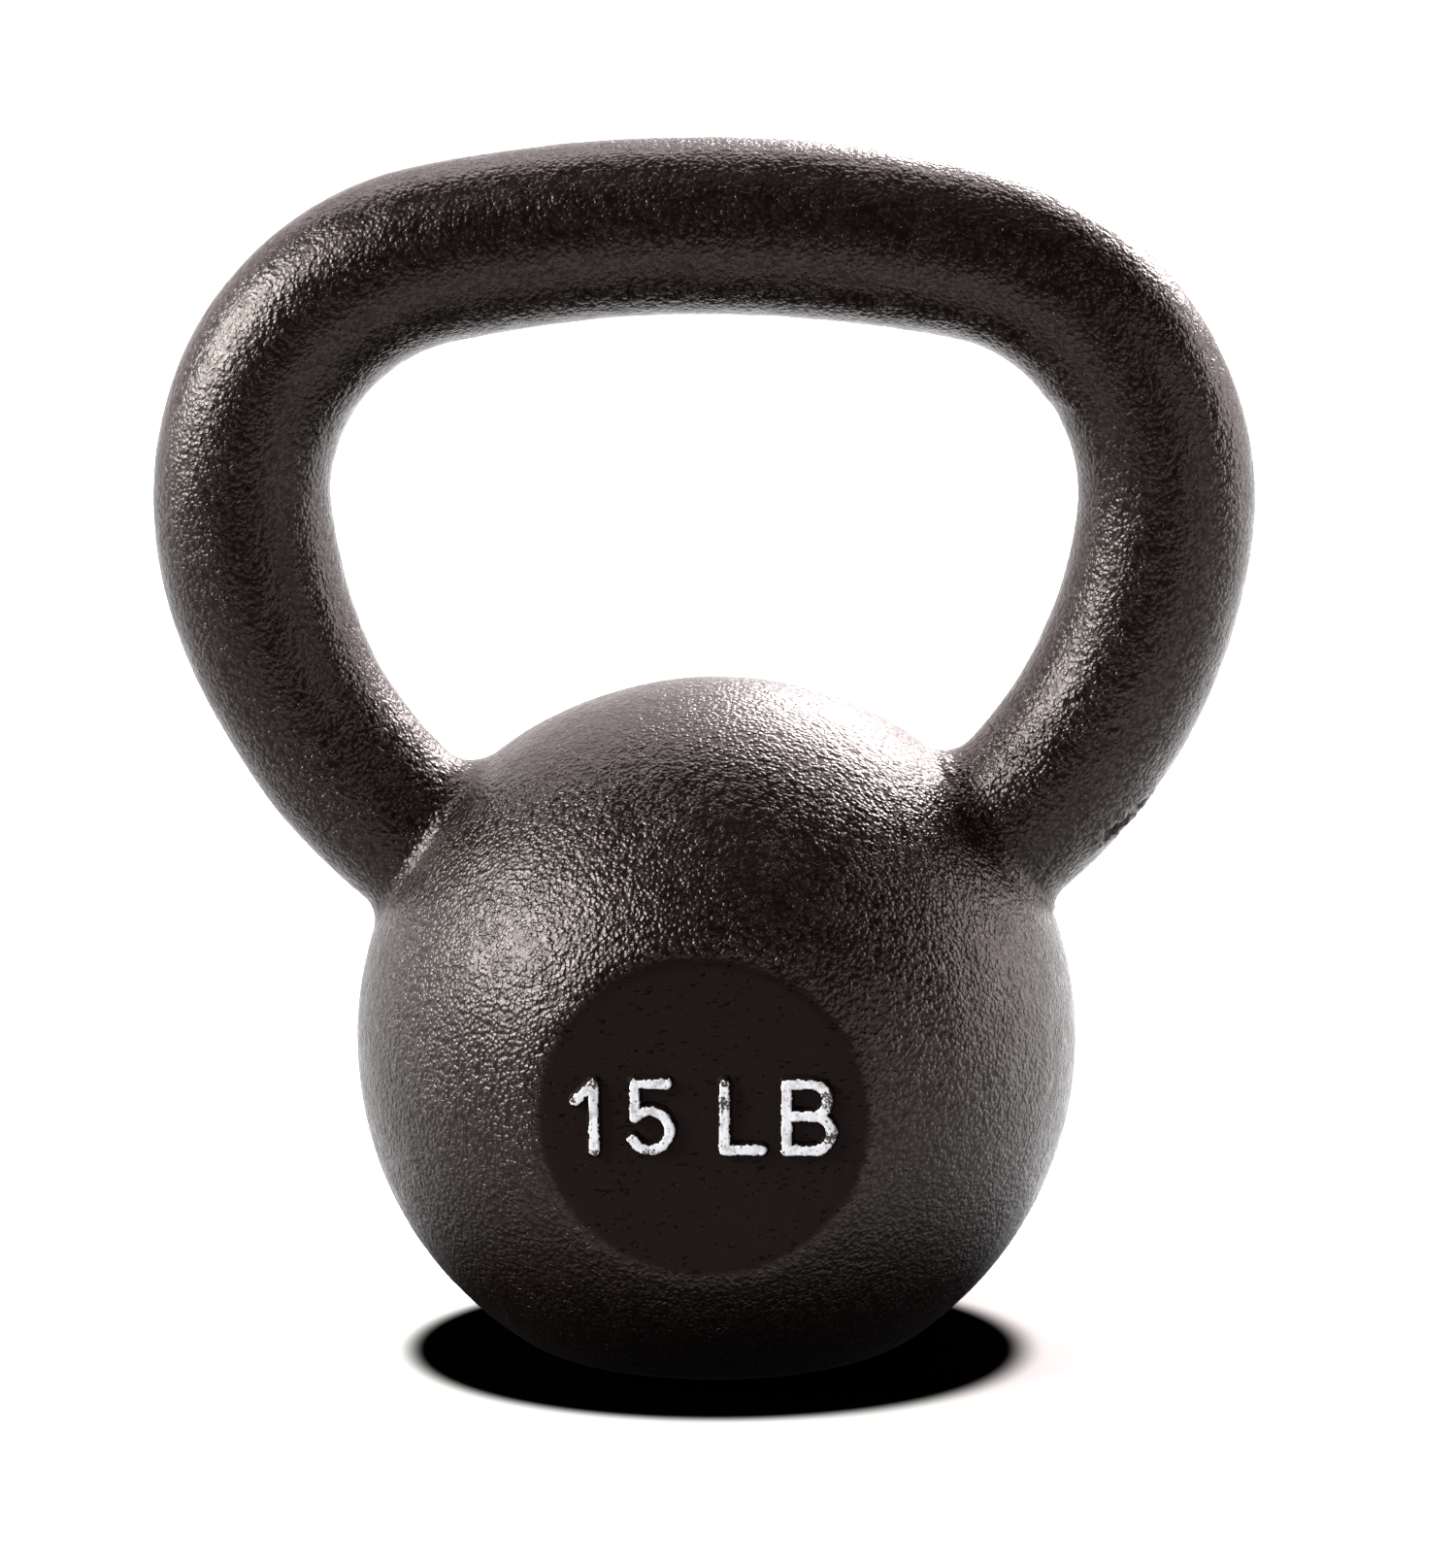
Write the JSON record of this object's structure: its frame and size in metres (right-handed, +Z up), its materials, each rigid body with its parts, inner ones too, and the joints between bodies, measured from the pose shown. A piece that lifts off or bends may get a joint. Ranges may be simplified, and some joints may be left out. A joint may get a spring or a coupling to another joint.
{
  "type": "kettlebell",
  "caption": "Cast-iron kettlebell: a ball-shaped bell with a flat base and a marked front flat, under a closed loop handle for one or both hands.",
  "frame": {"origin": "centre of the flat base, straight under the middle of the bell", "axes": "+Z up through the bell and the grip; the marked front flat looks towards -Y; the handle loop lies in the XZ plane, +X to the right of someone who looks at the mark"},
  "size_m": [0.1728, 0.1047, 0.191],
  "materials": {
    "iron": "gloss black enamel over a pebbly shot-blasted casting",
    "mark_paint": "worn white paint"
  },
  "bodies": {
    "root": {"bell": "iron", "handle": "iron", "left_root_fillet": "iron", "right_root_fillet": "iron", "raised_one": "iron", "raised_five": "iron", "raised_letter_l": "iron", "raised_letter_b": "iron", "paint_one": "mark_paint", "paint_five": "mark_paint", "paint_letter_l": "mark_paint", "paint_letter_b": "mark_paint"}
  },
  "joints": []
}
